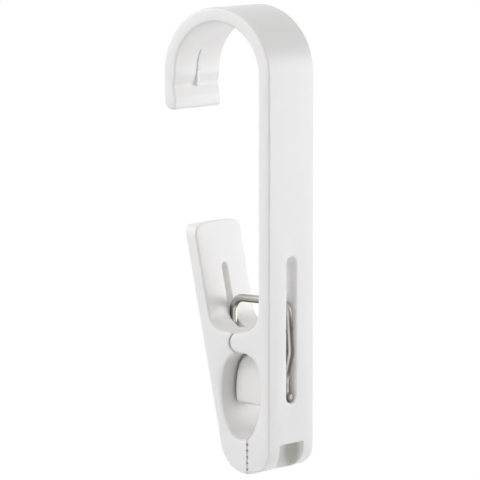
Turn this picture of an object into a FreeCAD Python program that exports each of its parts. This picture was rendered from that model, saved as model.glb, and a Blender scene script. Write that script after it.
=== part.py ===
import FreeCAD, Part
import math
import os

# Curtain hook with a sprung clip: a strap bent to a rod hook at the top, with a two-jaw clip at the foot.
# Millimetres. X runs across the clip (the strap's flat back is at +X), Y along the strap's width, Z up.
# The origin is the centre of the rod that the hook hangs on.

# Strap and rod hook
seat_radius = 13.4        # inner radius of the hook, round the rod
strap_thickness = 3.6
strap_width = 19.0
tip_drop = 9.7            # how far the hook's tip hangs below the rod's centre
tip_neck = 0.6            # how much the arm thins before its rounded end
tip_neck_drop = 3.7       # rod centre to the thinnest place
tip_bead = 0.2            # how far the bead under it stands back in
tip_bead_drop = 6.8
tip_round = 2.75          # outer rounding of the tip
tip_inner_round = 0.85
edge_break = 0.5          # bevel along the side edges of both mouldings
rib_width = 1.0           # fine rib inside the hook's tip
rib_height = 0.2
rib_length = 4.1
rib_drop = 0.0            # rod centre to the rib's upper end

# Fulcrum: a round nose on the leg in a socket on the lever
pivot_drop = 68.0         # rod centre to the nose's centre
pivot_reach = 10.2        # leg's back face to the nose's centre
nose_radius = 2.6
socket_clearance = 0.2
upper_lip_angle = 45.0    # where the socket ends, above the level
lower_lip_angle = 68.0    # and below the level
valley_round_leg = 6.0
valley_round_lever = 4.8

# Jaws and the oval eye between them. Heights of the clip are from the nose's centre
eye_width = 12.5
eye_top_ease = 0.65       # how much less than half the width the round top's radius is
eye_bottom_ease = 2.05    # and the round bottom's
eye_height = 22.3
eye_reach = 9.0           # leg's back face to the eye's centre line
jaw_thickness = 6.85      # the leg's jaw, from its back to its gripping face
jaw_gap = 0.2
foot_fall = 32.0          # nose's centre down to the leg's foot
foot_round = 5.6          # rounding of the foot towards the back
jaw_drop = 1.5            # the jaws' tip lies this much below the leg's foot
tooth_pitch = 1.6
tooth_width = 0.85
tooth_depth = 0.3
tooth_count = 5

# Lever: a plate that leans away from the leg, with its own jaw
lever_thickness = 3.45
lever_lean = 12.1         # degrees from the upright
lever_rise = 29.7         # nose's centre up to the handle's end
lever_corner = 3.0
lever_bow = 0.5           # how much the handle's end is bowed
lever_round = 0.3         # rounded edges of the handle's end, where fingers press
lever_jaw_round = 8.6
lever_back_reach = 21.4   # leg's back face to the lever's outer face, at the nose's height

# Spring: a bent wire that grips both jaws from outside. Depths are of its centre line,
# below the leg's back face and below the lever's outer face
wire_diameter = 2.0
wire_bend_radius = 3.3
wire_rise = 10.15         # nose's centre up to the wire's crossing
wire_leg_depth = 1.3      # where the crossing turns down beside the leg's back
wire_lever_depth = 4.65   # and beside the lever's outer face
wire_upright = 6.5        # straight part of that second upright
kink_fall = 2.5           # nose's centre down to where both sides stand out furthest
kink_depth = 0.35
knee_fall = 9.8           # and to where they press inwards
leg_knee_depth = 2.1
lever_knee_depth = 1.6
wire_end_fall = 14.2      # and to where its ends bend outwards
wire_end_depth = 0.15     # cut ends, below the outer faces
leg_end_bend = 1.7
lever_end_bend = 1.05
wire_soft_bend = 6.0      # bend at the kinks and knees
wire_cut_bevel = 0.2
wire_seat_gap = 0.05

# Slots for the wire
leg_slot_side_gap = 0.7   # either side of the wire
leg_slot_rise = 11.5      # wire's crossing up to the slot's upper end
leg_slot_bevel = 0.6      # eased mouth of the leg's slot
lever_slot_side_gap = 0.2
lever_slot_rise = 8.7
lever_slot_margin = 2.3   # room in the valley, in front of the wire
slot_end_gap = 0.3        # below the wire's ends

# Spine behind the leg's slot, and the scoop in the foot
spine_wall = 3.1          # either side of the slot
spine_clearance = 0.5
spine_length = 13.8       # down from the eye's top
spine_break = 0.8
scoop_radius = 5.05
scoop_height = 6.0        # up from the foot

# Worked out from the sizes above
outer_radius = seat_radius + strap_thickness
back_x = outer_radius
pivot_x = back_x - pivot_reach
pivot_z = -pivot_drop
valley_z = pivot_z + nose_radius
foot_z = pivot_z - foot_fall
jaw_tip_z = foot_z - jaw_drop
jaw_face_x = back_x - jaw_thickness
eye_x = back_x - eye_reach
eye_top_z = pivot_z - nose_radius
eye_bottom_z = eye_top_z - eye_height
eye_middle_z = eye_top_z - eye_height / 2.0
lean_angle = math.radians(lever_lean)
lean = math.tan(lean_angle)
handle_top_z = pivot_z + lever_rise
wire_radius = wire_diameter / 2.0
wire_z = pivot_z + wire_rise
wire_end_z = pivot_z - wire_end_fall
leg_slot_width = wire_diameter + 2.0 * leg_slot_side_gap
leg_slot_depth = leg_knee_depth + wire_radius + wire_seat_gap
lever_slot_width = wire_diameter + 2.0 * lever_slot_side_gap
lever_groove_depth = lever_knee_depth + wire_radius + wire_seat_gap
spine_width = leg_slot_width + 2.0 * spine_wall
through = strap_width + 2.0


def at(x, z, y=0.0):
    return FreeCAD.Vector(x, y, z)


def lever_outer_x(z):
    # X of the lever's outer face at height z
    return back_x - lever_back_reach + (pivot_z - z) * lean


def in_lever_x(z, depth):
    # X at a depth below the lever's outer face
    return lever_outer_x(z) + depth / math.cos(lean_angle)


def lever_inner_x(z):
    return in_lever_x(z, lever_thickness)


def rounded_corner(before, corner, after, radius):
    # The start, middle and end of the arc that rounds a corner between two straight runs
    to_before = (before - corner).normalize()
    to_after = (after - corner).normalize()
    half = to_before.getAngle(to_after) / 2.0
    reach = radius / math.tan(half)
    inward = (to_before + to_after).normalize()
    middle = corner + inward * (radius / math.sin(half) - radius)
    return corner + to_before * reach, middle, corner + to_after * reach


def outline(nodes):
    # Closed outline in the XZ plane. A node is (x, z) or (x, z, radius); ("via", x, z) makes the run
    # from the node before it to the node after it an arc through that point.
    corners = [node for node in nodes if node[0] != "via"]
    vias = {}
    count = 0
    for node in nodes:
        if node[0] == "via":
            vias[count - 1] = at(node[1], node[2])
        else:
            count += 1
    total = len(corners)
    points = [at(node[0], node[1]) for node in corners]
    entry, leave, arcs = [], [], []
    for i, node in enumerate(corners):
        if len(node) == 3:
            start, middle, end = rounded_corner(points[i - 1], points[i], points[(i + 1) % total], node[2])
            entry.append(start)
            leave.append(end)
            arcs.append(middle)
        else:
            entry.append(points[i])
            leave.append(points[i])
            arcs.append(None)
    edges = []
    for i in range(total):
        if arcs[i] is not None:
            edges.append(Part.Arc(entry[i], arcs[i], leave[i]).toShape())
        following = entry[(i + 1) % total]
        if i in vias:
            edges.append(Part.Arc(leave[i], vias[i], following).toShape())
        elif leave[i].distanceToPoint(following) > 1e-6:
            edges.append(Part.LineSegment(leave[i], following).toShape())
    return Part.Wire(edges)


def plate(nodes, width):
    # The outline carried across the strap's width, centred on the middle plane
    face = Part.Face(outline(nodes))
    face.translate(FreeCAD.Vector(0, -width / 2.0, 0))
    return face.extrude(FreeCAD.Vector(0, width, 0))


def disc(x, z, radius, width):
    return Part.makeCylinder(radius, width, at(x, z, -width / 2.0), FreeCAD.Vector(0, 1, 0))


def eye_nodes(grow=0.0):
    # Oval of four tangent arcs: a round top, a smaller round bottom and two long sides.
    # The sides' radius is the one at which their arcs meet both ends with no corner.
    half = eye_width / 2.0 + grow
    top = half - eye_top_ease
    bottom = half - eye_bottom_ease
    top_z = eye_top_z + grow - top
    bottom_z = eye_bottom_z - grow + bottom
    low = half
    high = 1000.0
    for _ in range(60):
        side = (low + high) / 2.0
        above = math.sqrt(max((half - top) * (2.0 * side - top - half), 0.0))
        below = math.sqrt(max((half - bottom) * (2.0 * side - bottom - half), 0.0))
        if above + below > top_z - bottom_z:
            high = side
        else:
            low = side
    side_z = top_z - above
    turn_top = math.asin(above / (side - top))
    turn_bottom = math.asin(below / (side - bottom))
    nodes = []
    for sign in (1, -1):
        joints = [
            (top * math.cos(turn_top), top_z + top * math.sin(turn_top)),
            (bottom * math.cos(turn_bottom), bottom_z - bottom * math.sin(turn_bottom)),
        ]
        if sign < 0:
            joints.reverse()
        nodes.append((eye_x + sign * joints[0][0], joints[0][1]))
        nodes.append(("via", eye_x + sign * half, side_z))
        nodes.append((eye_x + sign * joints[1][0], joints[1][1]))
        if sign > 0:
            nodes.append(("via", eye_x, bottom_z - bottom))
        else:
            nodes.append(("via", eye_x, top_z + top))
    return nodes


def soften(solid, radius, chosen):
    return solid.makeFillet(radius, [edge for edge in solid.Edges if chosen(edge)])


def bevel(solid, size, chosen):
    return solid.makeChamfer(size, [edge for edge in solid.Edges if chosen(edge)])


def on_side(edge):
    # True for an edge that lies in one of the two side faces of the strap
    box = edge.BoundBox
    return box.YLength < 1e-6 and abs(abs(box.YMin) - strap_width / 2.0) < 1e-6


def jaw_teeth(x):
    # V grooves across a gripping face, centred on it, so that they bite from either side
    teeth = []
    first = eye_bottom_z - 0.6 * tooth_pitch
    for i in range(tooth_count):
        z = first - i * tooth_pitch
        nodes = [(x - tooth_depth, z), (x, z + tooth_width / 2.0), (x + tooth_depth, z), (x, z - tooth_width / 2.0)]
        teeth.append(plate(nodes, through))
    return Part.makeCompound(teeth)


def round_slot(width, top_z, bottom_z, x_from, x_to):
    # Slot with round ends, cut along X between two depths
    radius = width / 2.0
    depth = x_to - x_from
    along = FreeCAD.Vector(1, 0, 0)
    box = Part.makeBox(depth, width, top_z - bottom_z - width, at(x_from, bottom_z + radius, -radius))
    top = Part.makeCylinder(radius, depth, at(x_from, top_z - radius), along)
    bottom = Part.makeCylinder(radius, depth, at(x_from, bottom_z + radius), along)
    return box.fuse([top, bottom])


def leg_slot():
    # A window right through the strap, and a deep groove below it that the arm and the spine back
    top_z = wire_z + leg_slot_rise
    bottom_z = wire_end_z - wire_radius - slot_end_gap
    past = back_x + wire_diameter
    window = round_slot(leg_slot_width, top_z, wire_z - leg_slot_width, seat_radius - wire_radius, past)
    groove = round_slot(leg_slot_width, top_z, bottom_z, back_x - leg_slot_depth, past)
    return window.fuse(groove)


def lever_slot():
    # Right through the plate above, then a floor that slopes out to a groove along the outer face
    top_z = wire_z + lever_slot_rise
    bottom_z = wire_end_z - wire_diameter - slot_end_gap
    slope_top_z = valley_z - wire_radius
    slope_bottom_z = pivot_z - (kink_fall + knee_fall) / 2.0
    inner_x = in_lever_x(wire_z, wire_lever_depth) + wire_radius + lever_slot_margin
    past = lever_outer_x(top_z) - wire_diameter
    profile = [
        (past, top_z),
        (inner_x, top_z),
        (inner_x, slope_top_z),
        (in_lever_x(slope_bottom_z, lever_groove_depth), slope_bottom_z),
        (in_lever_x(bottom_z, lever_groove_depth), bottom_z),
        (past, bottom_z),
    ]
    slot = round_slot(lever_slot_width, top_z, bottom_z, past, inner_x)
    return slot.common(plate(profile, through))


def make_hook_body():
    tip_x = -seat_radius
    body = plate([
        (seat_radius, 0.0),
        ("via", 0.0, seat_radius),
        (tip_x, 0.0),
        (tip_x, -tip_neck_drop / 4.0, 2.0 * tip_round),
        (tip_x - tip_neck, -tip_neck_drop, tip_round),
        (tip_x + tip_bead, -tip_bead_drop, tip_round),
        (tip_x + tip_bead / 2.0, -tip_drop, tip_inner_round),
        (-outer_radius, -tip_drop, tip_round),
        (-outer_radius, 0.0),
        ("via", 0.0, outer_radius),
        (outer_radius, 0.0),
        (back_x, foot_z, foot_round),
        (jaw_face_x, jaw_tip_z),
        (jaw_face_x, eye_middle_z),
        (eye_x, eye_middle_z),
        (eye_x, eye_top_z),
        (pivot_x, eye_top_z),
        ("via", pivot_x - nose_radius, pivot_z),
        (pivot_x, valley_z),
        (seat_radius, valley_z, valley_round_leg),
    ], strap_width)
    body = body.cut(plate(eye_nodes(), through)).removeSplitter()
    body = bevel(body, edge_break, lambda edge: on_side(edge) and not is_jaw_edge(edge))

    body = body.fuse(make_spine()).cut(leg_slot())
    body = bevel(body, leg_slot_bevel,
                 lambda edge: in_plane(edge, back_x) and abs(edge.BoundBox.YMax) < leg_slot_width)
    body = body.cut(Part.makeCylinder(scoop_radius, 2.0 * scoop_height, at(back_x, foot_z - scoop_height)))
    body = body.cut(jaw_teeth(jaw_face_x))
    rib = Part.makeBox(2.0 * tip_neck + rib_height, rib_width, rib_length,
                       at(tip_x - 2.0 * tip_neck, -rib_drop - rib_length, -rib_width / 2.0))
    return body.fuse(rib).removeSplitter()


def in_plane(edge, x):
    box = edge.BoundBox
    return abs(box.XMin - x) < 1e-4 and abs(box.XMax - x) < 1e-4


def is_jaw_edge(edge):
    # The edges of the two gripping faces stay sharp
    box = edge.BoundBox
    return box.XLength < 1e-6 and box.ZMax < eye_bottom_z + 1.0 and box.XMax < back_x - 1.0


def is_socket_edge(edge):
    # So do the socket's edges and its two lips
    box = edge.BoundBox
    reach = 1.6 * nose_radius
    return box.XMin > pivot_x - reach and box.ZMax < pivot_z + reach and box.ZMin > pivot_z - reach


def make_spine():
    # Rib that backs the slot where the eye leaves the strap thin. It reaches across the eye
    # and clears the lever's side of it.
    half = spine_width / 2.0
    bottom_z = eye_top_z - spine_length
    block = Part.makeBox(2.0 * eye_width, spine_width, spine_length, at(eye_x - eye_width, bottom_z, -half))
    spine = block.common(plate(eye_nodes(-spine_clearance), through))
    front = lambda edge: edge.BoundBox.XMax < eye_x + eye_width / 4.0 or edge.BoundBox.ZMax < bottom_z + 1e-4
    spine = bevel(spine, spine_break, front)
    root = Part.makeBox(back_x - strap_thickness / 2.0 - eye_x, spine_width, spine_length,
                        at(eye_x, bottom_z, -half))
    return spine.fuse(root)


def make_clip_lever():
    inner_face_x = jaw_face_x - jaw_gap
    top_z = handle_top_z - lever_thickness * math.sin(lean_angle)
    up = math.radians(upper_lip_angle)
    down = math.radians(lower_lip_angle)
    lip = nose_radius / math.sin(up)
    low_lip = 2.0 * nose_radius
    lever = plate([
        (lever_outer_x(top_z), top_z),
        (lever_outer_x(jaw_tip_z), jaw_tip_z, lever_jaw_round),
        (inner_face_x, jaw_tip_z),
        (inner_face_x, eye_middle_z),
        (pivot_x - low_lip * math.cos(down), eye_middle_z),
        (pivot_x - low_lip * math.cos(down), pivot_z - low_lip * math.sin(down)),
        (pivot_x, pivot_z),
        (pivot_x - lip * math.cos(up), valley_z),
        (lever_inner_x(valley_z), valley_z, valley_round_lever),
        (lever_outer_x(top_z) + lever_thickness * math.cos(lean_angle), handle_top_z),
    ], strap_width)
    lever = lever.cut(plate(eye_nodes(), through))
    lever = lever.cut(disc(pivot_x, pivot_z, nose_radius + socket_clearance, through)).removeSplitter()
    lever = bevel(lever, edge_break, is_lever_side)
    lever = soften(lever.common(handle_end()).removeSplitter(), lever_round, is_handle_rim)
    lever = lever.cut(lever_slot())
    return lever.cut(jaw_teeth(inner_face_x)).removeSplitter()


def handle_end():
    # Front view of the lever, with a slightly bowed top edge and round corners
    half = strap_width / 2.0
    corner_z = handle_top_z - lever_bow - lever_corner
    slant = lever_corner * (1.0 - math.sqrt(0.5))
    below_z = jaw_tip_z - lever_thickness
    view = plate([
        (half, corner_z),
        ("via", half - slant, corner_z + lever_corner - slant),
        (half - lever_corner, corner_z + lever_corner),
        ("via", 0.0, handle_top_z),
        (lever_corner - half, corner_z + lever_corner),
        ("via", slant - half, corner_z + lever_corner - slant),
        (-half, corner_z),
        (-half, below_z),
        (half, below_z),
    ], 4.0 * back_x)
    view.rotate(FreeCAD.Vector(0, 0, 0), FreeCAD.Vector(0, 0, 1), 90.0)
    return view


def is_eye_edge(edge):
    # The lever's edges round the oval eye: right of its wall's outermost line and below the nose
    box = edge.BoundBox
    wall_x = eye_x - eye_width / 2.0 - 0.01
    return box.XMin > wall_x and box.ZMax < eye_top_z + nose_radius and box.ZMin > eye_bottom_z - 0.01


def is_lever_side(edge):
    # The edges of both side faces, up to the handle's end
    open_edge = is_eye_edge(edge) or not (is_jaw_edge(edge) or is_socket_edge(edge))
    return on_side(edge) and open_edge and edge.BoundBox.ZMin < handle_top_z - lever_corner


def is_handle_rim(edge):
    # The edges of the handle's outer and inner face round its end
    box = edge.BoundBox
    return box.ZMin > handle_top_z - lever_bow - 1.5 * lever_corner and box.YLength > edge_break / 2.0


def wire_route():
    # Corners of the wire's centre line and the bend at each, from its end on the leg to that on the lever
    knee_z = pivot_z - knee_fall
    kink_z = pivot_z - kink_fall
    upright_x = in_lever_x(wire_z, wire_lever_depth)
    last_run = lever_knee_depth - wire_end_depth
    last_x = in_lever_x(wire_end_z, lever_knee_depth)
    return [
        (back_x - wire_end_depth, wire_end_z),
        (back_x - leg_knee_depth, wire_end_z, leg_end_bend),
        (back_x - leg_knee_depth, knee_z, wire_soft_bend),
        (back_x - kink_depth, kink_z, wire_soft_bend),
        (back_x - wire_leg_depth, wire_z, wire_bend_radius),
        (upright_x, wire_z, wire_bend_radius),
        (upright_x, wire_z - wire_upright, wire_soft_bend),
        (in_lever_x(kink_z, kink_depth), kink_z, wire_soft_bend),
        (in_lever_x(knee_z, lever_knee_depth), knee_z, wire_soft_bend),
        (last_x, wire_end_z, lever_end_bend),
        (last_x - last_run * math.cos(lean_angle), wire_end_z - last_run * math.sin(lean_angle)),
    ]


def make_wire_spring():
    # Round wire swept along straight runs joined by tangent arcs
    corners = wire_route()
    points = [at(corner[0], corner[1]) for corner in corners]
    edges = []
    leave = points[0]
    for i in range(1, len(points) - 1):
        start, middle, end = rounded_corner(points[i - 1], points[i], points[i + 1], corners[i][2])
        if leave.distanceToPoint(start) > 1e-6:
            edges.append(Part.LineSegment(leave, start).toShape())
        edges.append(Part.Arc(start, middle, end).toShape())
        leave = end
    edges.append(Part.LineSegment(leave, points[-1]).toShape())
    section = Part.Face(Part.Wire([Part.makeCircle(wire_radius, points[0], points[1] - points[0])]))
    path = Part.Wire(edges)
    wire = path.makePipe(section)
    print("wire_spring volume", wire.Volume, "section by length", path.Length * math.pi * wire_radius ** 2)
    is_end = lambda edge: min(edge.CenterOfMass.distanceToPoint(end) for end in (points[0], points[-1])) < 1e-3
    return bevel(wire, wire_cut_bevel, is_end)


os.makedirs("parts", exist_ok=True)
make_hook_body().exportStep("parts/hook_body.step")
make_clip_lever().exportStep("parts/clip_lever.step")
make_wire_spring().exportStep("parts/wire_spring.step")
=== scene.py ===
import math
import bpy
import numpy as np
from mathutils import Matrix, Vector


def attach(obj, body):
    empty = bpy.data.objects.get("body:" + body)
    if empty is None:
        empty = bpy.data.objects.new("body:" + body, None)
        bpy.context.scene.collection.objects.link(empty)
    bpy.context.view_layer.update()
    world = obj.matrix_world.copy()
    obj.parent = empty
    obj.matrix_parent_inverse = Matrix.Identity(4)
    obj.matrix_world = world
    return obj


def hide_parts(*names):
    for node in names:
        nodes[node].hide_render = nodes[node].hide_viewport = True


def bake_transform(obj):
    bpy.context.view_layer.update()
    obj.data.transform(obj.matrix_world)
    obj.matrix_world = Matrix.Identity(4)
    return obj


# Curtain hook with a sprung clip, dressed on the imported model. Metres, +Z up, rod along Y.

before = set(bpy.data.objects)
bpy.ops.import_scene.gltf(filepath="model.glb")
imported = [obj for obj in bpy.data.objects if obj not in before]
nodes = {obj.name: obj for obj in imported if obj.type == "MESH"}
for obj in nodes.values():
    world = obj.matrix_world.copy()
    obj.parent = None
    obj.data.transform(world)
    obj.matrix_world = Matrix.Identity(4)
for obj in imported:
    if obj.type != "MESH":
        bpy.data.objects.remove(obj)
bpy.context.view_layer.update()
print("frame loaded:", ", ".join(sorted(nodes)))


def newMaterial(name):
    material = bpy.data.materials.new(name)
    material.use_nodes = True
    material.node_tree.nodes.clear()
    return material


def newGroup(name, inputs):
    # A node group with the named inputs, and the outputs that feed a Principled shader
    group = bpy.data.node_groups.new(name, "ShaderNodeTree")
    outputs = {"Colour": "Color", "Roughness": "Float", "Normal": "Vector"}
    for direction, sockets in (("INPUT", inputs), ("OUTPUT", outputs)):
        for socket, kind in sockets.items():
            group.interface.new_socket(name=socket, in_out=direction, socket_type="NodeSocket" + kind)
    return group


def addNode(tree, kind, place, values=None, **settings):
    node = tree.nodes.new(kind)
    node.location = place
    for key, value in settings.items():
        setattr(node, key, value)
    for key, value in (values or {}).items():
        node.inputs[key].default_value = value
    return node


def feed(tree, socket, value):
    # Another node's output is linked to the socket, and a plain value is set on it
    if isinstance(value, bpy.types.NodeSocket):
        tree.links.new(value, socket)
    else:
        socket.default_value = value


def mathNode(tree, place, operation, *values):
    node = addNode(tree, "ShaderNodeMath", place, operation=operation)
    for socket, value in zip(node.inputs, values):
        feed(tree, socket, value)
    return node.outputs["Value"]


def vectorNode(tree, place, operation, *values):
    node = addNode(tree, "ShaderNodeVectorMath", place, operation=operation)
    for socket, value in zip(node.inputs, values):
        feed(tree, socket, value)
    return node.outputs["Value" if operation == "LENGTH" else "Vector"]


def scaledTone(tree, place, tone, gain):
    node = addNode(tree, "ShaderNodeVectorMath", place, operation="SCALE")
    feed(tree, node.inputs["Vector"], tone)
    feed(tree, node.inputs["Scale"], gain)
    return node.outputs["Vector"]


def mixTones(tree, place, amount, first, second):
    # On a colour Mix node the amount is input 0, the tones are inputs 6 and 7, the result is output 2
    node = addNode(tree, "ShaderNodeMix", place, data_type="RGBA")
    for slot, value in ((0, amount), (6, first), (7, second)):
        feed(tree, node.inputs[slot], value)
    return node.outputs[2]


def softStep(tree, place, value, low, high):
    # 0 at low and 1 at high with soft ends, and falling where low is the larger
    node = addNode(tree, "ShaderNodeMapRange", place, {"From Min": low, "From Max": high},
                   interpolation_type="SMOOTHSTEP")
    feed(tree, node.inputs["Value"], value)
    return node.outputs["Result"]


def noise(tree, place, where, scale, detail, roughness):
    node = addNode(tree, "ShaderNodeTexNoise", place,
                   {"Scale": scale, "Detail": detail, "Roughness": roughness})
    feed(tree, node.inputs["Vector"], where)
    return node.outputs["Fac"]


def stretched(tree, place, where, scale):
    node = addNode(tree, "ShaderNodeMapping", place, {"Scale": scale})
    feed(tree, node.inputs["Vector"], where)
    return node.outputs["Vector"]


mouldGrain = {               # each noise as scale, detail and roughness
    "clouds": (95.0, 3.0, 0.55), "specks": (620.0, 4.0, 0.6), "pebble": (2600.0, 2.0, 0.5),
    "rubs": (1.0, 5.0, 0.62), "rubStretch": (900.0, 900.0, 70.0),
    "speckShare": 0.5, "cloudMiddle": 0.75,
    "rubFrom": 0.52, "rubTo": 0.78, "rubRough": 0.16, "rubDepth": -0.35, "speckRough": 0.08,
    "pebbleHeight": 0.00003,                                 # metres
    "paintedShadeClear": 1.15, "paintedShadeFull": 0.45,                     # in shares of the painted shade's reach
    "eyeMiddle": (0.008, 0.0, -0.0795), "eyePerMetre": (125.0, 0.0, 77.0),
    "eyeClear": 1.1, "eyeFull": 0.95,                        # in shares of the eye's egg
    "edgeSamples": 8,
}


def mouldedSkin(g):
    # Moulded plastic: slow cloudiness from the melt, a fine pebble of the tool's surface,
    # short rubbed streaks along the strap from handling, rounded edges, and painted shade in one
    # hollow
    group = newGroup("mouldedSkin", {
        "Tint": "Color", "Cloud": "Float", "Pebble": "Float", "Rub": "Float", "Sheen": "Float",
        "Round": "Float", "Eye round": "Float",
        "Painted shade": "Float", "Painted shade tint": "Color", "Painted shade place": "Vector", "Painted shade reach": "Vector"})
    come = addNode(group, "NodeGroupInput", (-1300, 0)).outputs
    go = addNode(group, "NodeGroupOutput", (900, 0)).inputs
    where = addNode(group, "ShaderNodeTexCoord", (-1300, -300)).outputs["Object"]

    clouds = noise(group, (-900, 300), where, *g["clouds"])
    specks = noise(group, (-900, 60), where, *g["specks"])
    pebble = noise(group, (-900, -180), where, *g["pebble"])
    lengthwise = stretched(group, (-1120, -460), where, g["rubStretch"])
    rubs = noise(group, (-900, -460), lengthwise, *g["rubs"])

    # tone = tint * (1 + cloud * (clouds + specks * share - middle))
    both = mathNode(group, (-640, 240), "MULTIPLY_ADD", specks, g["speckShare"], clouds)
    centred = mathNode(group, (-480, 240), "SUBTRACT", both, g["cloudMiddle"])
    gain = mathNode(group, (-320, 240), "MULTIPLY_ADD", centred, come["Cloud"], 1.0)
    tone = scaledTone(group, (0, 240), come["Tint"], gain)

    # painted shade: one hollow of each moulding is darkened towards a greenish grey, an egg that
    # thins out towards its reach
    paintedShadeAway = vectorNode(group, (-700, 620), "SUBTRACT", where, come["Painted shade place"])
    paintedShadeEgg = vectorNode(group, (-520, 620), "DIVIDE", paintedShadeAway, come["Painted shade reach"])
    paintedShadeFar = vectorNode(group, (-340, 620), "LENGTH", paintedShadeEgg)
    hollow = softStep(group, (-160, 620), paintedShadeFar, g["paintedShadeClear"], g["paintedShadeFull"])
    paintedShade = mathNode(group, (60, 620), "MULTIPLY", hollow, come["Painted shade"])
    feed(group, go["Colour"], mixTones(group, (300, 400), paintedShade, tone, come["Painted shade tint"]))

    rubbed = softStep(group, (-640, -420), rubs, g["rubFrom"], g["rubTo"])
    rub = mathNode(group, (-440, -420), "MULTIPLY", rubbed, come["Rub"])
    rough = mathNode(group, (-200, -80), "MULTIPLY_ADD", rub, g["rubRough"], come["Sheen"])
    specked = mathNode(group, (0, -80), "MULTIPLY_ADD", specks, g["speckRough"], rough)
    feed(group, go["Roughness"], specked)

    # the mould's edges look rounded, most of all round the eye, an egg of 8 by 13 mm each way
    eyeAway = vectorNode(group, (-900, -700), "SUBTRACT", where, g["eyeMiddle"])
    eyeEgg = vectorNode(group, (-720, -700), "MULTIPLY", eyeAway, g["eyePerMetre"])
    eyeFar = vectorNode(group, (-540, -700), "LENGTH", eyeEgg)
    nearEye = softStep(group, (-360, -700), eyeFar, g["eyeClear"], g["eyeFull"])
    radius = mathNode(group, (-160, -600), "MULTIPLY_ADD", nearEye, come["Eye round"], come["Round"])
    edges = addNode(group, "ShaderNodeBevel", (20, -480), samples=g["edgeSamples"])
    feed(group, edges.inputs["Radius"], radius)

    bump = addNode(group, "ShaderNodeBump", (200, -300), {"Distance": g["pebbleHeight"]})
    height = mathNode(group, (-200, -300), "MULTIPLY_ADD", rub, g["rubDepth"], pebble)
    feed(group, bump.inputs["Height"], height)
    feed(group, bump.inputs["Strength"], come["Pebble"])
    feed(group, bump.inputs["Normal"], edges.outputs["Normal"])
    feed(group, go["Normal"], bump.outputs["Normal"])
    return group


wireGrain = {                # each noise as scale, detail and roughness
    "hair": (1.0, 4.0, 0.6), "hairStretch": (60.0, 3.0, 1.0), "hairMiddle": 0.5,
    "hairStrength": 0.35, "hairHeight": 0.00002,             # height in metres
    "patches": (260.0, 3.0, 0.5), "dullFrom": 0.42, "dullTo": 0.66,
    "paintedDarkRough": 0.45,
}


def drawnWire(g):
    # Drawn steel: hair lines along the wire (v runs along it, u round it), slow dull patches,
    # and painted shade and painted dark reflection, rougher too, where the wire's attribute says so
    group = newGroup("drawnWire", {
        "Tint": "Color", "Lines": "Float", "Dull": "Float", "Polish": "Float",
        "Painted dark": "Float", "Painted dark tint": "Color"})
    come = addNode(group, "NodeGroupInput", (-1300, 0)).outputs
    go = addNode(group, "NodeGroupOutput", (900, 0)).inputs
    where = addNode(group, "ShaderNodeTexCoord", (-1300, -300)).outputs
    alongWire = stretched(group, (-1100, -200), where["UV"], g["hairStretch"])
    hair = noise(group, (-880, -200), alongWire, *g["hair"])
    patches = noise(group, (-880, 120), where["Object"], *g["patches"])

    # tone = tint * (1 + lines * (hair - middle)), then the painted shade and dark reflection over it
    centred = mathNode(group, (-640, -100), "SUBTRACT", hair, g["hairMiddle"])
    gain = mathNode(group, (-460, -100), "MULTIPLY_ADD", centred, come["Lines"], 1.0)
    tone = scaledTone(group, (-200, 60), come["Tint"], gain)
    dark = addNode(group, "ShaderNodeAttribute", (-640, 400), attribute_name="paintedDarkMask")
    paintedDark = mathNode(group, (-400, 400), "MULTIPLY", dark.outputs["Fac"], come["Painted dark"])
    feed(group, go["Colour"], mixTones(group, (100, 200), paintedDark, tone, come["Painted dark tint"]))

    dull = softStep(group, (-640, 120), patches, g["dullFrom"], g["dullTo"])
    rough = mathNode(group, (-400, 160), "MULTIPLY_ADD", dull, come["Dull"], come["Polish"])
    withPaintedDark = mathNode(group, (-200, 300), "MULTIPLY_ADD", paintedDark, g["paintedDarkRough"], rough)
    feed(group, go["Roughness"], withPaintedDark)

    bump = addNode(group, "ShaderNodeBump", (200, -300),
                   {"Strength": g["hairStrength"], "Distance": g["hairHeight"]})
    feed(group, bump.inputs["Height"], hair)
    feed(group, go["Normal"], bump.outputs["Normal"])
    return group


skinGroup = mouldedSkin(mouldGrain)
wireGroup = drawnWire(wireGrain)
print("plastic and wire effects built")


def finishMaterial(name, group, groupValues, shaderValues):
    # One Principled shader fed by the group's colour, roughness and normal
    material = newMaterial(name)
    tree = material.node_tree
    effect = addNode(tree, "ShaderNodeGroup", (-300, 0), node_tree=group)
    for key, value in groupValues.items():
        effect.inputs[key].default_value = value
    shader = addNode(tree, "ShaderNodeBsdfPrincipled", (0, 0), shaderValues)
    out = addNode(tree, "ShaderNodeOutputMaterial", (320, 0))
    feed(tree, shader.inputs["Base Color"], effect.outputs["Colour"])
    feed(tree, shader.inputs["Roughness"], effect.outputs["Roughness"])
    feed(tree, shader.inputs["Normal"], effect.outputs["Normal"])
    feed(tree, out.inputs["Surface"], shader.outputs["BSDF"])
    return material


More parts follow.
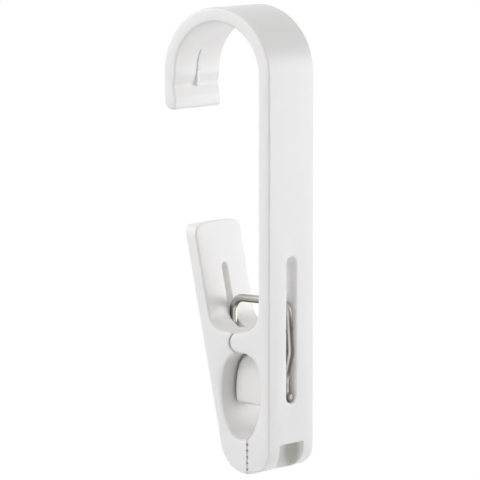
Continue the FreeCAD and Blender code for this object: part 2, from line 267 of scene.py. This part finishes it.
hookBody = {
    "material": "hookPlastic",
    "splitAngle": 50.0,      # degrees; flatter edges, such as the bevels, shade round
    "weldReach": 0.000001,   # metres
    "faceWeight": 60,
    "skin": {"Tint": (0.870, 0.870, 0.846, 1.0),
             "Cloud": 0.03, "Pebble": 0.3, "Rub": 0.5, "Sheen": 0.34,
             "Round": 0.0005, "Eye round": 0.0009,           # metres
             # painted shade in the foot's scoop, deepest towards its +Y side
             "Painted shade": 0.66, "Painted shade tint": (0.42, 0.43, 0.36, 1.0),
             "Painted shade place": (0.0140, 0.0040, -0.0965), "Painted shade reach": (0.0023, 0.0023, 0.0058)},
    "shader": {"IOR": 1.46, "Subsurface Weight": 0.4,
               "Subsurface Scale": 0.0012, "Subsurface Radius": (1.0, 0.95, 0.9)},
}
clipLever = {
    "material": "leverPlastic",
    "splitAngle": 50.0,
    "weldReach": 0.000001,
    "faceWeight": 60,
    "skin": {"Tint": (0.872, 0.872, 0.848, 1.0),
             "Cloud": 0.03, "Pebble": 0.3, "Rub": 0.7, "Sheen": 0.36,
             "Round": 0.0005, "Eye round": 0.0009,
             # painted shadow on the lever's wall inside the eye, where the spine shades it
             "Painted shade": 0.24, "Painted shade tint": (0.42, 0.43, 0.36, 1.0),
             "Painted shade place": (0.0040, 0.0, -0.0785), "Painted shade reach": (0.0060, 0.0140, 0.0085)},
    "shader": {"IOR": 1.46, "Subsurface Weight": 0.4,
               "Subsurface Scale": 0.0012, "Subsurface Radius": (1.0, 0.95, 0.9)},
}


def shadeMoulding(node, m):
    # Joins the loose triangles, keeps crisp edges and lets flat faces rule the normals beside bevels
    node.data.polygons.foreach_set("use_smooth", [True] * len(node.data.polygons))
    weld = node.modifiers.new("joinTriangles", "WELD")
    weld.merge_threshold = m["weldReach"]
    split = node.modifiers.new("crispEdges", "EDGE_SPLIT")
    split.split_angle = math.radians(m["splitAngle"])
    split.use_edge_sharp = False
    even = node.modifiers.new("evenNormals", "WEIGHTED_NORMAL")
    even.mode = "FACE_AREA"
    even.weight = m["faceWeight"]


def dressMoulding(nodeName, m):
    node = nodes[nodeName]
    shadeMoulding(node, m)
    material = finishMaterial(m["material"], skinGroup, m["skin"], m["shader"])
    node.data.materials.clear()
    node.data.materials.append(material)
    print("dressed", nodeName, "in", m["material"])
    return material


hookPlastic = dressMoulding("hook_body", hookBody)
dressMoulding("clip_lever", clipLever)

metresPerMillimetre = 0.001


def closedTube(grid):
    # Points in metres and faces of a tube: quads between neighbouring rings, wrapped round, and a
    # fan to a middle point at each end
    rings, around = grid.shape[:2]
    points = np.concatenate([grid.reshape(-1, 3), grid[0].mean(0)[None], grid[-1].mean(0)[None]])
    i, j = np.meshgrid(np.arange(rings - 1), np.arange(around), indexing="ij")
    a = (i * around + j).ravel()
    b = (i * around + (j + 1) % around).ravel()
    quads = np.stack([a, b, b + around, a + around], axis=1)
    k = np.arange(around)
    after = (k + 1) % around
    last = (rings - 1) * around
    firstFan = np.stack([np.full(around, rings * around), after, k], axis=1)
    lastFan = np.stack([np.full(around, rings * around + 1), last + k, last + after], axis=1)
    faces = quads.tolist() + firstFan.tolist() + lastFan.tolist()
    return points * metresPerMillimetre, faces


def smoothPiece(name, points, faces):
    mesh = bpy.data.meshes.new(name)
    mesh.from_pydata(points.tolist(), [], faces)
    mesh.polygons.foreach_set("use_smooth", [True] * len(mesh.polygons))
    mesh.update()
    piece = bpy.data.objects.new(name, mesh)
    bpy.context.collection.objects.link(piece)
    return piece


# The fine rib inside the hook's tip runs on up the round and fades out
tipRib = {                   # millimetres and degrees
    "seatRadius": 13.4, "from": 180.0, "to": 157.0,
    "halfWidth": 0.5, "endHalfWidth": 0.25, "height": 0.13, "endHeight": 0.02,
    "along": 48, "around": 20,
}


def fadingRib(name, r):
    # Ellipse carried up the seat's circle: at share s of the way its middle lies on the circle of
    # seatRadius at angle from + s (to - from), and its half axes shrink as 1 - s squared, inwards
    # and along Y
    share = np.linspace(0.0, 1.0, r["along"])
    angle = np.radians(r["from"] + share * (r["to"] - r["from"]))[:, None]
    fade = (1 - share ** 2)[:, None]
    high = r["endHeight"] + (r["height"] - r["endHeight"]) * fade
    wide = r["endHalfWidth"] + (r["halfWidth"] - r["endHalfWidth"]) * fade
    turn = np.linspace(0.0, 2 * math.pi, r["around"], endpoint=False)[None, :]
    reach = r["seatRadius"] - high * np.cos(turn)
    grid = np.stack([reach * np.cos(angle), wide * np.sin(turn), reach * np.sin(angle)], axis=2)
    return smoothPiece(name, *closedTube(grid))


rib = fadingRib("tipRib", tipRib)
rib.data.materials.append(hookPlastic)
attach(rib, "hook")
print("tip rib:", len(rib.data.polygons), "faces")


springWire = {               # millimetres, as the solid's
    "radius": 1.0,
    "backX": 17.0, "pivotZ": -68.0,
    "leverReach": 21.4, "leanDegrees": 12.1,
    "rise": 10.15, "legDepth": 1.3, "leverDepth": 4.65, "upright": 6.5, "topBend": 3.3,
    "kinkFall": 2.5, "kinkDepth": 0.35, "kneeFall": 9.8, "legKnee": 2.1, "leverKnee": 1.6,
    "endFall": 14.2, "endDepth": 0.15, "legEndBend": 1.7, "leverEndBend": 1.05, "softBend": 6.0,
    "cutRound": 0.42, "rimRings": 5, "rimClear": 1.5, "capShare": 0.5,
    "around": 40, "stepDegrees": 5.0, "runStep": 0.6, "tangentReach": 0.05,
    "sameGap": 0.000001, "mapLength": 2.0,
    # painted shade and painted dark reflection on the wire, standing in for the dark slot walls it
    # mirrors and the shade under the crossing
    "paintedDark": {                # strengths 0 to 1, half widths in degrees, places in millimetres
        "legHalf": 62.0, "leverHalf": 140.0, "underHalf": 75.0, "edge": 30.0,
        "cross": 0.36, "under": 0.45, "crossDrop": 3.0,
        "lowerThinning": 0.55, "lowerThinningFall": 7.5,       # thinner on the lower part of both sides
        "faint": 0.28, "faintRise": 5.5,     # and at the top of the leg's side
        "low": 0.62, "lowFall": 9.0,         # all round at the foot of the leg's side
        "cutEnd": 0.80, "endRings": 6, "middle": 0.45,
        "fade": 2.0, "sideX": 6.0, "sideFade": 3.0,
    },
    # the skin's last two values paint the wire's shade and dark reflections in a near-black brown
    "skin": {"Tint": (0.66, 0.65, 0.59, 1.0), "Lines": 0.25, "Dull": 0.12, "Polish": 0.22,
             "Painted dark": 0.85, "Painted dark tint": (0.040, 0.030, 0.024, 1.0)},
    "shader": {"Metallic": 1.0},
}


def wireCorners(w):
    # Corners of the centre line as (x, z, bend), from the cut end on the leg to that on the lever.
    # The lever's outer face stands at x = backX - leverReach + (pivotZ - z) tan(lean).
    lean = math.radians(w["leanDegrees"])

    def inLever(z, depth):
        outer = w["backX"] - w["leverReach"] + (w["pivotZ"] - z) * math.tan(lean)
        return outer + depth / math.cos(lean)

    crossZ = w["pivotZ"] + w["rise"]
    kinkZ = w["pivotZ"] - w["kinkFall"]
    kneeZ = w["pivotZ"] - w["kneeFall"]
    endZ = w["pivotZ"] - w["endFall"]
    uprightX = inLever(crossZ, w["leverDepth"])
    lastX = inLever(endZ, w["leverKnee"])
    lastRun = w["leverKnee"] - w["endDepth"]
    return np.array([
        (w["backX"] - w["endDepth"], endZ, 0.0),
        (w["backX"] - w["legKnee"], endZ, w["legEndBend"]),
        (w["backX"] - w["legKnee"], kneeZ, w["softBend"]),
        (w["backX"] - w["kinkDepth"], kinkZ, w["softBend"]),
        (w["backX"] - w["legDepth"], crossZ, w["topBend"]),
        (uprightX, crossZ, w["topBend"]),
        (uprightX, crossZ - w["upright"], w["softBend"]),
        (inLever(kinkZ, w["kinkDepth"]), kinkZ, w["softBend"]),
        (inLever(kneeZ, w["leverKnee"]), kneeZ, w["softBend"]),
        (lastX, endZ, w["leverEndBend"]),
        (lastX - lastRun * math.cos(lean), endZ - lastRun * math.sin(lean), 0.0),
    ])


def bentLine(corners, w):
    # Straight runs joined by arcs: an arc of radius r leaves its corner's two runs at
    # r tan(turn / 2), and its points are centre + r (cos, sin) over equal steps of the turn
    flat = corners[:, :2]
    runs = np.diff(flat, axis=0)
    unit = runs / np.linalg.norm(runs, axis=1)[:, None]
    pieces = [flat[:1]]
    for i in range(1, len(corners) - 1):
        before, after, radius = unit[i - 1], unit[i], corners[i, 2]
        turn = math.atan2(before[0] * after[1] - before[1] * after[0], float(before @ after))
        reach = radius * math.tan(abs(turn) / 2)
        side = np.array([-before[1], before[0]]) * np.sign(turn)
        centre = flat[i] - before * reach + side * radius
        count = max(2, int(math.ceil(math.degrees(abs(turn)) / w["stepDegrees"])))
        angle = np.linspace(0.0, turn, count + 1)
        cos, sin = np.cos(angle), np.sin(angle)
        spoke = np.stack([side[1] * sin - side[0] * cos, -side[0] * sin - side[1] * cos], axis=1)
        pieces.append(centre + radius * spoke)
    pieces.append(flat[-1:])
    points = np.concatenate(pieces)
    gaps = np.linalg.norm(np.diff(points, axis=0), axis=1)
    points = points[np.concatenate([[True], gaps > w["sameGap"]])]

    # long runs are divided into steps of runStep at most
    steps = np.diff(points, axis=0)
    count = np.maximum(1, np.ceil(np.linalg.norm(steps, axis=1) / w["runStep"]).astype(int))
    share = np.concatenate([np.arange(n) / n for n in count])
    first = np.repeat(np.arange(len(steps)), count)
    return np.concatenate([points[first] + steps[first] * share[:, None], points[-1:]])


def ringTube(line, w):
    # Tube round a flat line: ring point = centre + r (cos t * normal - sin t * Y). Its two cut ends
    # have a quarter-round rim: at angle a the ring lies cutRound (1 - sin a) in from the end, with
    # radius r - cutRound (1 - cos a), and closes to a middle point.
    steps = np.linalg.norm(np.diff(line, axis=0), axis=1)
    along = np.concatenate([[0.0], np.cumsum(steps)])
    total = along[-1]

    def pointAt(distance):
        return np.stack([np.interp(distance, along, line[:, 0]),
                         np.interp(distance, along, line[:, 1])], axis=1)

    rim = np.linspace(math.pi / 2, 0.0, w["rimRings"])
    rimAt = w["cutRound"] * (1 - np.sin(rim))
    rimRadius = w["radius"] - w["cutRound"] * (1 - np.cos(rim))
    clear = w["cutRound"] * w["rimClear"]
    body = along[(along > clear) & (along < total - clear)]
    at = np.concatenate([[0.0], rimAt, body, total - rimAt[::-1], [total]])
    cap = [rimRadius[0] * w["capShare"]]
    radius = np.concatenate([cap, rimRadius, np.full(len(body), w["radius"]), rimRadius[::-1], cap])
    x, z = pointAt(at).T
    ahead = pointAt(np.minimum(at + w["tangentReach"], total))
    tangent = ahead - pointAt(np.maximum(at - w["tangentReach"], 0.0))
    tangent /= np.linalg.norm(tangent, axis=1)[:, None]
    turn = np.linspace(0.0, 2 * math.pi, w["around"], endpoint=False)
    across = np.cos(turn)[None, :] * radius[:, None]
    sideways = -np.sin(turn)[None, :] * radius[:, None]
    px = x[:, None] - tangent[:, 1:2] * across
    pz = z[:, None] + tangent[:, 0:1] * across
    return np.stack([px, sideways, pz], axis=2), at, wirePaintedDark(x, z, turn, w)


def wirePaintedDark(x, z, turn, w):
    # Painted shade and painted dark reflection on the wire, 0 to 1, at each ring's (x, z) and turn t
    # round it. band(middle, half) is
    # 1 about the middle and falls to 0 over the last edge degrees of its half width. On both sides
    # it lies on the outside of the bend (t = 180 degrees), wider on the lever's side, and on
    # the crossing it lies all round, and more underneath (t = 0), where shade falls; the cut ends are
    # dark all round
    f = w["paintedDark"]

    def ease(v):
        v = np.clip(v, 0.0, 1.0)
        return v * v * (3 - 2 * v)

    def band(middle, half):
        away = np.abs((turn - math.radians(middle) + math.pi) % (2 * math.pi) - math.pi)
        return 1 - ease((away - math.radians(half - f["edge"])) / math.radians(f["edge"]))[None, :]

    def above(level):
        return ease((z - level) / f["fade"])[:, None]

    def below(level):
        return ease((level - z) / f["fade"])[:, None]

    crossing = above(w["pivotZ"] + w["rise"] - f["crossDrop"])
    onLeg = ease((x - f["sideX"]) / f["sideFade"])[:, None]
    lowerThinning = 1 - f["lowerThinning"] * below(w["pivotZ"] - f["lowerThinningFall"])
    faint = 1 - f["faint"] * above(w["pivotZ"] + f["faintRise"])
    low = f["low"] * below(w["pivotZ"] - f["lowFall"])
    leg = np.maximum(band(180, f["legHalf"]) * lowerThinning * faint, low)
    sides = onLeg * leg + (1 - onLeg) * band(180, f["leverHalf"]) * lowerThinning
    paintedDark = sides * (1 - crossing) + (f["cross"] + f["under"] * band(0, f["underHalf"])) * crossing
    paintedDark[:f["endRings"]] = f["cutEnd"]
    paintedDark[-f["endRings"]:] = f["cutEnd"]
    return paintedDark


def wireMesh(name, grid, at, paintedDark, w):
    # The UV map runs round the wire in u and along it in v, 1 for every mapLength
    piece = smoothPiece(name, *closedTube(grid))
    mesh = piece.data
    rings, around = grid.shape[:2]
    i, j = np.meshgrid(np.arange(rings - 1), np.arange(around), indexing="ij")
    i, j = i.ravel(), j.ravel()
    v = at / w["mapLength"]
    u, nextU = j / around, (j + 1) / around
    quads = np.stack([u, v[i], nextU, v[i], nextU, v[i + 1], u, v[i + 1]], axis=1)
    rimU = np.arange(around) / around
    rimNext = rimU + 1 / around
    middleU = np.full(around, 0.5)
    firstV, lastV = np.full(around, v[0]), np.full(around, v[-1])
    firstFan = np.stack([middleU, firstV, rimNext, firstV, rimU, firstV], axis=1)
    lastFan = np.stack([middleU, lastV, rimU, lastV, rimNext, lastV], axis=1)
    uv = np.concatenate([quads.ravel(), firstFan.ravel(), lastFan.ravel()])
    mesh.uv_layers.new(name="alongWire").data.foreach_set("uv", uv.astype(np.float32))
    middles = [w["paintedDark"]["middle"]] * 2
    dark = mesh.attributes.new("paintedDarkMask", "FLOAT", "POINT")
    dark.data.foreach_set("value", np.concatenate([paintedDark.ravel(), middles]).astype(np.float32))
    return piece


wireLine = bentLine(wireCorners(springWire), springWire)
tubeGrid, tubeAt, tubePaintedDark = ringTube(wireLine, springWire)
spring = wireMesh("springWire", tubeGrid, tubeAt, tubePaintedDark, springWire)
springSteel = finishMaterial("springSteel", wireGroup, springWire["skin"], springWire["shader"])
spring.data.materials.append(springSteel)
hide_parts("wire_spring")
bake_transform(spring)
print("spring wire:", len(spring.data.polygons), "faces")


studio = {
    "floorZ": -0.150, "floorSize": 6.0,
    "nearRadius": 0.15, "farRadius": 0.40, "nearGlow": 0.36,
    "floorTint": (0.90, 0.90, 0.90, 1.0),
    "white": (1.0, 1.0, 1.0, 1.0), "whiteStrength": 1.0,
    "skyLight": 0.37,
    "aim": (0.0, 0.0, -0.045),
}
lamps = {                    # soft lamps behind, beside and over the hook; sizes in metres
    "behindRight": {"place": (0.573, 0.818, 0.007), "size": (0.6, 0.5),
                    "watts": 4.3, "tint": (0.97, 0.952, 1.0)},
    "lowRight": {"place": (0.201, 0.287, -0.090), "size": (0.4, 0.12),
                 "watts": 0.20, "tint": (0.97, 0.952, 1.0)},
    "frontHigh": {"place": (-0.133, -0.754, 0.598), "size": (0.6, 0.5),
                  "watts": 4.7, "tint": (0.97, 0.952, 1.0)},
    "leftHigh": {"place": (-0.740, -0.198, 0.598), "size": (0.6, 0.5),
                 "watts": 1.85, "tint": (0.97, 0.955, 1.0)},
}
photoCamera = {
    "place": (0.6441, -0.8240, 0.0826), "lookAt": (0.00022, 0.00017, -0.04304),
    "lens": 308.4, "sensor": 36.0, "nearest": 0.05, "farthest": 20.0,
}


def seenRays(tree, place):
    # 1 for camera, glossy and transmission rays, which see the studio white, and 0 for its light
    x, y = place
    path = addNode(tree, "ShaderNodeLightPath", place).outputs
    seen = mathNode(tree, (x + 200, y), "MAXIMUM", path["Is Camera Ray"], path["Is Glossy Ray"])
    return mathNode(tree, (x + 380, y), "MAXIMUM", seen, path["Is Transmission Ray"])


def makeFloor(s):
    # A wide floor that the camera sees as white where nothing shades it. Near the hook a glow of
    # nearGlow fills up its own lit colour, which keeps the shadow, and from nearRadius to farRadius
    # it turns plain white
    half = s["floorSize"] / 2
    mesh = bpy.data.meshes.new("studioFloor")
    mesh.from_pydata([(-half, -half, s["floorZ"]), (half, -half, s["floorZ"]),
                      (half, half, s["floorZ"]), (-half, half, s["floorZ"])], [], [(0, 1, 2, 3)])
    floor = bpy.data.objects.new("studioFloor", mesh)
    bpy.context.collection.objects.link(floor)
    material = newMaterial("paleFloor")
    tree = material.node_tree
    seen = seenRays(tree, (-700, 300))
    where = addNode(tree, "ShaderNodeTexCoord", (-1000, -200)).outputs["Object"]
    distance = vectorNode(tree, (-800, -200), "LENGTH", where)
    away = softStep(tree, (-560, -200), distance, s["nearRadius"], s["farRadius"])
    matt = addNode(tree, "ShaderNodeBsdfDiffuse", (-300, 100), {"Color": s["floorTint"]})
    glow = addNode(tree, "ShaderNodeEmission", (-300, -80),
                   {"Color": s["white"], "Strength": s["nearGlow"]})
    white = addNode(tree, "ShaderNodeEmission", (-300, -220),
                    {"Color": s["white"], "Strength": s["whiteStrength"]})
    near = addNode(tree, "ShaderNodeAddShader", (-60, 0))
    look = addNode(tree, "ShaderNodeMixShader", (60, -120))
    pick = addNode(tree, "ShaderNodeMixShader", (240, 100))
    out = addNode(tree, "ShaderNodeOutputMaterial", (440, 100))
    for node, sources in ((near, (matt.outputs[0], glow.outputs[0])),
                          (look, (away, near.outputs[0], white.outputs[0])),
                          (pick, (seen, matt.outputs[0], look.outputs[0])),
                          (out, (pick.outputs[0],))):
        for socket, source in zip(node.inputs, sources):
            feed(tree, socket, source)
    mesh.materials.append(material)


def makeSky(s):
    # White behind the object, and the plain studio level for light
    world = bpy.data.worlds.new("studioSky")
    bpy.context.scene.world = world
    world.use_nodes = True
    tree = world.node_tree
    tree.nodes.clear()
    level = addNode(tree, "ShaderNodeMapRange", (-140, 300),
                    {"To Min": s["skyLight"], "To Max": s["whiteStrength"]})
    feed(tree, level.inputs["Value"], seenRays(tree, (-700, 300)))
    glow = addNode(tree, "ShaderNodeBackground", (100, 200), {"Color": s["white"]})
    out = addNode(tree, "ShaderNodeOutputWorld", (300, 200))
    feed(tree, glow.inputs["Strength"], level.outputs["Result"])
    feed(tree, out.inputs["Surface"], glow.outputs["Background"])


def turnedTo(place, target):
    return (Vector(target) - Vector(place)).to_track_quat("-Z", "Y").to_euler()


def makeLamps(lampSet, aim):
    for name, lamp in lampSet.items():
        light = bpy.data.lights.new(name, "AREA")
        light.shape = "RECTANGLE"
        light.size, light.size_y = lamp["size"]
        light.energy = lamp["watts"]
        light.color = lamp["tint"]
        holder = bpy.data.objects.new(name, light)
        holder.location = lamp["place"]
        holder.rotation_euler = turnedTo(lamp["place"], aim)
        bpy.context.collection.objects.link(holder)


def makeCamera(c):
    lens = bpy.data.cameras.new("photoCamera")
    lens.sensor_width = c["sensor"]
    lens.lens = c["lens"]
    lens.clip_start, lens.clip_end = c["nearest"], c["farthest"]
    holder = bpy.data.objects.new("photoCamera", lens)
    holder.location = c["place"]
    holder.rotation_euler = turnedTo(c["place"], c["lookAt"])
    bpy.context.collection.objects.link(holder)
    bpy.context.scene.camera = holder


makeFloor(studio)
makeSky(studio)
makeLamps(lamps, studio["aim"])
makeCamera(photoCamera)
bpy.context.scene.view_settings.view_transform = "Standard"
print("studio and camera ready")
